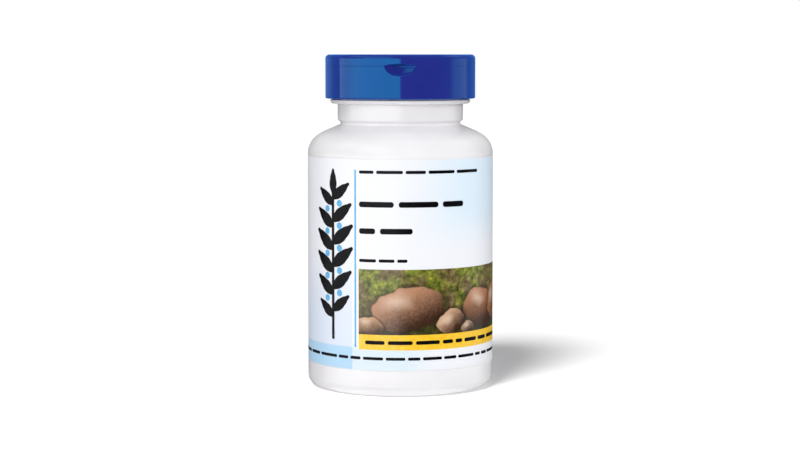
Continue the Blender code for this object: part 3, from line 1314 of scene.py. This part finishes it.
    def ink_sheet(self, name: str, bars: Sequence[Bar]) -> Object:
        """Start a flat sheet of ink from its first bars.

        Args:
            name: The ink's name.
            bars: The bars on it.

        Returns:
            The flat sheet.
        """
        ink = self.sheet(name, self.left, self.right, self.bottom, self.top, self.ink_lift)
        with editing(ink):
            bpy.ops.mesh.delete(type="VERT")
            self.add_bars(bars)
        return ink

    def finish_ink(self, ink: Object, material: bpy.types.Material) -> Object:
        """Cut a sheet of ink into columns that bend, wrap it and dress it.

        Args:
            ink: The flat ink.
            material: Its material.

        Returns:
            The ink.
        """
        places = [vertex.co.x / MM for vertex in ink.data.vertices]
        at, end = min(places) + self.column, max(places)
        with editing(ink):
            while at < end:
                bpy.ops.mesh.select_all(action="SELECT")
                bpy.ops.mesh.bisect(plane_co=(at * MM, 0.0, 0.0), plane_no=(1.0, 0.0, 0.0))
                at += self.column
        self.wrap(ink, self.ink_thickness)
        return self.hang(ink, material)

    def build_dark_ink(self) -> Object:
        """Model the dark print: lines of bars on the front and the sides, and the sprig.

        Returns:
            The ink.
        """
        ink = self.ink_sheet("label_print_dark", [bar for line in self.front_lines for bar in line.bars()])
        with editing(ink):
            self.add_bars([bar for part in self.side_print for bar in part.bars()])
            width, height = self.stem_size
            self.add_bars([Bar(self.sprig_across - width / 2, self.stem_bottom, width, height)])
        self.lay_sprig(ink)
        return self.finish_ink(ink, self.dark.material())

    def build_blue_ink(self) -> Object:
        """Model the light blue print: the upright rule and the sprig's berries.

        Returns:
            The ink.
        """
        ink = self.ink_sheet("label_print_blue", [self.rule])
        with editing(ink):
            for pair in range(self.leaf_pairs - 1):
                for side in (-1, 1):
                    up = self.sprig_bottom + pair * self.sprig_step + self.berry_rise + self.stagger(side)
                    self.add_berry(self.sprig_across + side * self.berry_aside, up)
        return self.finish_ink(ink, self.blue.material())


@dataclass
class Closure:
    """The flip-top closure: screw-on collar, plug seal, flip-up lid and the film hinge between them."""

    radius: float = 25.0
    seam_z: float = 106.7
    seam_gap: float = 0.03
    seam_round: float = 0.06
    collar_bottom: float = 95.9
    collar_bore: float = 22.5
    deck_bottom: float = 105.3
    top: float = 110.5
    lid_ceiling: float = 109.3
    lid_bore: float = 23.2
    lid_fillet: float = 1.4
    gate_radius: float = 1.0
    gate_depth: float = 0.15
    opening_radius: float = 13.0
    opening_y: float = -4.0
    lip_radius: float = 14.2
    lip_top: float = 107.9
    plug_radii: Point = (11.6, 12.7)
    plug_bottom: float = 105.9
    seal_radii: Point = (17.8, 18.8)
    seal_bottom: float = 102.4
    scoop_half_width: float = 5.35
    scoop_depth: float = 1.9
    scoop_drop: float = 3.3
    arch_rise: float = 0.85
    flat_y: float = 23.9
    hinge_y: float = 24.4
    notch_half: float = 9.0
    notch_depth: float = 4.0
    notch_round: float = 0.35
    notch_bottom: float = 104.2
    notch_top: float = 109.1
    film_half: float = 6.0
    film_ends: Point = (105.4, 108.0)
    film_outer_y: float = 24.3
    film_slices: int = 26
    film_round: float = 0.08
    film_waist: tuple[Point, ...] = ((0.75, 0.9), (0.62, 0.88), (0.5, 0.86), (0.38, 0.86))
    film_bend: float = 0.35
    thread: Thread = Thread(helix_radius=22.5, bead_radius=0.9, low_z=97.40825, start_angle=90.0)
    finish: MouldedPolypropylene = MouldedPolypropylene()
    material: bpy.types.Material | None = None

    def hang(self, piece: Object, body: str | None, node: str) -> Object:
        """Dress a finished blue piece, put it on its body and hide the CAD node that it stands for.

        Args:
            piece: The piece.
            body: The CAD body that it moves with, or None where it bends between two.
            node: The CAD node that it stands for.

        Returns:
            The piece.
        """
        self.material = self.material or self.finish.material()
        dress(piece, self.material)
        if body is not None:
            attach(piece, body)
        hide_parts(node)
        return piece

    def cut_scoop(self, piece: Object, reach: float) -> None:
        """Hollow the thumb scoop out of the front wall, on one side of the seam.

        Args:
            piece: The collar or the lid.
            reach: How far from the seam the hollow runs out.
        """
        bpy.ops.object.select_all(action="DESELECT")
        bpy.ops.mesh.primitive_uv_sphere_add(
            segments=96, ring_count=64, radius=MM, location=Vector((0.0, -self.radius, self.seam_z)) * MM
        )
        scoop = newly_added("thumb_scoop", (self.scoop_half_width, self.scoop_depth, reach))
        combine(piece, scoop, Combine.CUT)

    def cut_notch(self, piece: Object, low: float, high: float) -> None:
        """Cut the flat for the hinge at the back.

        Args:
            piece: The collar or the lid.
            low: The notch's lower end.
            high: Its upper end.
        """
        bpy.ops.object.select_all(action="DESELECT")
        middle = Vector((0.0, self.flat_y + self.notch_depth / 2, (low + high) / 2)) * MM
        bpy.ops.mesh.primitive_cube_add(size=MM, location=middle)
        notch = newly_added("hinge_notch", (2 * self.notch_half, self.notch_depth, high - low))
        with editing(notch):
            bpy.ops.mesh.bevel(offset=self.notch_round * MM, segments=3)
        combine(piece, notch, Combine.CUT)

    def build_collar(self) -> Object:
        """Model the screw-on collar with its deck, raised lip, opening, scoop and thread.

        Returns:
            The collar.
        """
        edge = self.seam_z - self.seam_gap / 2
        collar = turned(
            "closure_shell",
            filleted([
                (0.0, edge, 0.0),
                (self.radius, edge, self.seam_round),
                (self.radius, self.collar_bottom, 0.5),
                (self.collar_bore, self.collar_bottom, 0.25),
                (self.collar_bore, self.deck_bottom, 0.5),
                (0.0, self.deck_bottom, 0.0),
            ]),
        )
        bpy.ops.object.select_all(action="DESELECT")
        bpy.ops.mesh.primitive_cylinder_add(
            vertices=LATHE_STEPS,
            radius=(self.opening_radius + 0.5) * MM,
            depth=10.0 * MM,
            location=(0.0, self.opening_y * MM, self.seam_z * MM),
        )
        combine(collar, newly_added("opening"), Combine.CUT)
        low = self.deck_bottom - 0.05
        lip = turned(
            "lip",
            filleted([
                (self.opening_radius, self.seam_z, 0.0),
                (self.opening_radius, self.lip_top, 0.3),
                (self.lip_radius, self.lip_top, 0.35),
                (self.lip_radius, low, 0.2),
                (self.opening_radius, low, 0.2),
                (self.opening_radius, self.seam_z, 0.0),
            ]),
            self.opening_y,
        )
        combine(collar, lip, Combine.ADD)
        combine(collar, self.thread.build("collar_thread"), Combine.ADD)
        self.cut_scoop(collar, self.scoop_drop)
        self.cut_notch(collar, self.notch_bottom, self.seam_z + 1.0)
        smooth(collar)
        return self.hang(collar, "closure", "closure_collar")

    def build_seal(self) -> Object:
        """Model the ring below the deck that seals inside the neck.

        Returns:
            The ring.
        """
        inner, outer = self.seal_radii
        top = self.deck_bottom - 0.1
        seal = turned(
            "plug_seal_ring",
            filleted([
                (inner, top, 0.0),
                (outer, top, 0.0),
                (outer, self.seal_bottom + 0.9, 0.4),
                (outer - 0.5, self.seal_bottom, 0.25),
                (inner, self.seal_bottom, 0.2),
                (inner, top, 0.0),
            ]),
        )
        smooth(seal)
        return self.hang(seal, "closure_rise", "closure_plug_seal")

    def build_lid(self) -> Object:
        """Model the flip-up lid with its plug ring, its arched lip and the gate's dimple on top.

        Returns:
            The lid.
        """
        edge = self.seam_z + self.seam_gap / 2
        lid = turned(
            "lid_shell",
            filleted(
                [
                    (0.0, self.top - self.gate_depth, 0.0),
                    (self.gate_radius, self.top - self.gate_depth, 0.1),
                    (self.gate_radius + 0.4, self.top, 0.1),
                    (self.radius, self.top, self.lid_fillet),
                    (self.radius, edge, self.seam_round),
                    (self.lid_bore, edge, 0.25),
                    (self.lid_bore, self.lid_ceiling, 0.8),
                    (0.0, self.lid_ceiling, 0.0),
                ],
                steps=8,
            ),
        )
        inner, outer = self.plug_radii
        root = self.lid_ceiling + 0.4
        plug = turned(
            "plug",
            filleted([
                (inner, root, 0.0),
                (outer, root, 0.0),
                (outer, self.plug_bottom + 1.2, 0.3),
                (outer + 0.1, self.plug_bottom + 0.75, 0.3),
                (outer - 0.3, self.plug_bottom, 0.2),
                (inner, self.plug_bottom, 0.2),
                (inner, root, 0.0),
            ]),
            self.opening_y,
        )
        combine(lid, plug, Combine.ADD)
        self.cut_scoop(lid, self.arch_rise)
        self.cut_notch(lid, self.seam_z - 1.0, self.notch_top)
        smooth(lid)
        return self.hang(lid, "lid", "lid")

    def build_film(self) -> Object:
        """Model the film hinge, thin at its waist and sliced across its height.

        Returns:
            The film hinge.
        """
        low, high = self.film_ends
        depth = self.film_outer_y - self.flat_y
        middle = Vector((0.0, self.flat_y + depth / 2, (low + high) / 2)) * MM
        bpy.ops.object.select_all(action="DESELECT")
        bpy.ops.mesh.primitive_cube_add(size=MM, location=middle)
        film = newly_added("hinge_film", (2 * self.film_half, depth, high - low))
        with editing(film):
            bpy.ops.mesh.bevel(offset=self.film_round * MM, segments=2)
            for step in range(1, self.film_slices):
                bpy.ops.mesh.select_all(action="SELECT")
                level = (low + (high - low) * step / self.film_slices) * MM
                bpy.ops.mesh.bisect(plane_co=(0.0, 0.0, level), plane_no=(0.0, 0.0, 1.0))
            for reach, share in self.film_waist:
                select_where(film, lambda place, reach=reach: abs(place.z - self.seam_z) < reach)
                bpy.ops.transform.resize(value=(1.0, share, 1.0), center_override=middle)
        smooth(film, 50.0)
        self.hang(film, None, "hinge_web")
        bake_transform(film)
        return film


# Studio


@dataclass(frozen=True)
class Panel:
    """A soft panel of light a long way off. Azimuths, in degrees, grow to the camera's right."""

    left: float
    right: float
    low: float
    high: float
    radiance: float
    left_blur: float = 1.0
    right_blur: float = 1.0
    level_blur: float = 1.0

    def strength(
        self, tree: bpy.types.NodeTree, azimuth: bpy.types.NodeSocket, elevation: bpy.types.NodeSocket
    ) -> bpy.types.NodeSocket:
        """Work out how strongly the panel shines from each direction.

        Args:
            tree: The world's tree.
            azimuth: The direction's azimuth, in degrees.
            elevation: The direction's elevation, in degrees.

        Returns:
            The strength's output.
        """
        total: bpy.types.NodeSocket | float = self.radiance
        for value, edge, blur, beyond in (
            (azimuth, self.left, self.left_blur, 1.0),
            (azimuth, self.right, self.right_blur, 0.0),
            (elevation, self.low, self.level_blur, 1.0),
            (elevation, self.high, self.level_blur, 0.0),
        ):
            share = add_node(
                tree,
                "MapRange",
                {
                    "Value": value,
                    "From Min": edge - blur,
                    "From Max": edge + blur,
                    "To Min": 1.0 - beyond,
                    "To Max": beyond,
                },
                interpolation_type="SMOOTHSTEP",
            ).outputs[0]
            total = add_node(tree, "Math", {0: total, 1: share}, operation="MULTIPLY").outputs[0]
        return total


@dataclass(frozen=True)
class Lamp:
    """A broad lamp a long way off, aimed at the bottle and not mirrored in it. Angles are in degrees."""

    name: str
    azimuth: float
    elevation: float
    spread: float
    strength: float
    lights: Receiver

    def place(self, floor: Object) -> Object:
        """Set the lamp up.

        Args:
            floor: The floor.

        Returns:
            The lamp.
        """
        light = bpy.data.lights.new(self.name, "SUN")
        light.energy, light.angle = self.strength, math.radians(self.spread)
        lamp = bpy.data.objects.new(self.name, light)
        bpy.context.scene.collection.objects.link(lamp)
        lamp.rotation_euler = (math.radians(90.0 - self.elevation), 0.0, math.radians(self.azimuth))
        lamp.visible_glossy = False
        receivers = bpy.data.collections.new(self.name)
        receivers.objects.link(floor)
        receivers.collection_objects[0].light_linking.link_state = self.lights.value
        lamp.light_linking.receiver_collection = receivers
        return lamp


@dataclass
class Studio:
    """A pale floor, soft panels mirrored in the bottle, broad lamps for it and the floor, and the camera."""

    camera_place: Corner = (-0.1, -669.0, 110.46)
    camera_pitch: float = 4.873
    lens: float = 90.0
    sensor: float = 36.0
    lamps: tuple[Lamp, ...] = (
        Lamp("key_for_floor", -26.0, 49.5, 20.0, 3.3, Receiver.FLOOR),
        Lamp("fill_for_floor", 120.0, 60.0, 80.0, 0.58, Receiver.FLOOR),
        Lamp("front", 11.0, 12.0, 50.0, 1.42, Receiver.BOTTLE),
        Lamp("low_front", 0.0, -60.0, 50.0, 0.45, Receiver.BOTTLE),
        Lamp("right", 90.0, 12.0, 50.0, 0.96, Receiver.BOTTLE),
        Lamp("high_right", 90.0, 45.0, 50.0, 0.62, Receiver.BOTTLE),
        Lamp("high_left", -90.0, 60.0, 50.0, 0.6, Receiver.BOTTLE),
        Lamp("rear", 180.0, 30.0, 50.0, 2.0, Receiver.BOTTLE),
        Lamp("high_rear", 180.0, 60.0, 50.0, 1.0, Receiver.BOTTLE),
        Lamp("low_rear", -165.0, -60.0, 50.0, 1.2, Receiver.BOTTLE),
    )
    ambient: float = 0.08
    floor_radius: float = 3000.0
    floor_drop: float = 0.05
    panels: tuple[Panel, ...] = (
        Panel(-106.0, 0.0, -12.0, 6.0, 1.3),
        Panel(-80.0, 0.0, -12.0, 6.0, 0.9, left_blur=14.0),
        Panel(-100.0, -14.0, 34.0, 54.0, 1.1, 6.0, 10.0, 4.0),
        Panel(-62.0, -14.0, 14.0, 36.0, 1.3, 6.0, 8.0, 5.0),
        Panel(86.0, 122.0, -12.0, 6.0, 0.55, 6.0, 6.0, 6.0),
        Panel(93.0, 137.0, 30.0, 50.0, 0.6, 6.0, 6.0, 4.0),
        Panel(-178.0, -130.0, -12.0, 6.0, 0.12, 3.0, 3.0, 3.0),
        Panel(-400.0, 400.0, 66.0, 100.0, 0.3, level_blur=6.0),
        Panel(-400.0, 400.0, -100.0, -42.0, 0.9, level_blur=8.0),
    )

    def build_floor(self) -> Object:
        """Lay the floor, pale and matt.

        Returns:
            The floor.
        """
        bpy.ops.object.select_all(action="DESELECT")
        bpy.ops.mesh.primitive_circle_add(
            vertices=96,
            radius=self.floor_radius * MM,
            fill_type="NGON",
            location=(0.0, 0.0, -self.floor_drop * MM),
        )
        floor = newly_added("floor")
        material, _ = start_material(
            "floor_matt_white", Roughness=0.9, Specular_IOR_Level=0.1, Base_Color=linear("#f4f4f4")
        )
        floor.data.materials.append(material)
        floor.visible_diffuse = floor.visible_glossy = floor.visible_shadow = False
        return floor

    def light(self) -> None:
        """Set up the lamps and the panels, with a white background for the camera."""
        floor = self.build_floor()
        for lamp in self.lamps:
            lamp.place(floor)
        world = bpy.data.worlds.new("white_room")
        world.use_nodes = True
        bpy.context.scene.world = world
        tree = world.node_tree
        tree.nodes.clear()
        direction = add_node(tree, "TexCoord").outputs["Generated"]
        right, back, rise = add_node(tree, "SeparateXYZ", {0: direction}).outputs
        front = add_node(tree, "Math", {0: back, 1: -1.0}, operation="MULTIPLY").outputs[0]
        azimuth = add_node(tree, "Math", {0: right, 1: front}, operation="ARCTAN2").outputs[0]
        azimuth = add_node(tree, "Math", {0: azimuth}, operation="DEGREES").outputs[0]
        elevation = add_node(tree, "Math", {0: rise}, operation="ARCSINE").outputs[0]
        elevation = add_node(tree, "Math", {0: elevation}, operation="DEGREES").outputs[0]
        total: bpy.types.NodeSocket | float = self.ambient
        for panel in self.panels:
            total = add_node(
                tree, "Math", {0: total, 1: panel.strength(tree, azimuth, elevation)}, operation="ADD"
            ).outputs[0]
        room, backdrop = (
            add_node(tree, "Background", {"Color": linear("#ffffff"), "Strength": strength}).outputs[0]
            for strength in (total, 1.0)
        )
        seen = add_node(tree, "LightPath").outputs["Is Camera Ray"]
        mix = add_node(tree, "MixShader", {0: seen, 1: room, 2: backdrop})
        add_node(tree, "OutputWorld", {0: mix.outputs[0]})
        bpy.context.scene.view_settings.view_transform = "Standard"

    def build_camera(self) -> Object:
        """Set the camera up at the photograph's angle.

        Returns:
            The camera.
        """
        data = bpy.data.cameras.new("camera")
        data.lens, data.sensor_width = self.lens, self.sensor
        data.clip_start, data.clip_end = 0.01, 100.0
        camera = bpy.data.objects.new("camera", data)
        bpy.context.scene.collection.objects.link(camera)
        camera.location = Vector(self.camera_place) * MM
        camera.rotation_euler = (math.radians(90.0 - self.camera_pitch), 0.0, 0.0)
        bpy.context.scene.camera = camera
        return camera


def main() -> None:
    """Build the bottle, the label, the closure and the studio, in that order."""
    logging.basicConfig(level=logging.INFO, format="%(name)s: %(message)s")
    bottle, label, closure, studio = Bottle(), Label(), Closure(), Studio()
    for build in (
        bottle.build,
        label.build_film,
        label.build_picture,
        label.build_band,
        label.build_dark_ink,
        label.build_blue_ink,
        closure.build_collar,
        closure.build_seal,
        closure.build_lid,
        closure.build_film,
    ):
        piece = build()
        log.info("%s: %d faces, %s", piece.name, len(piece.data.polygons), piece.active_material.name)
    studio.light()
    studio.build_camera()


if __name__ == "__main__":
    main()
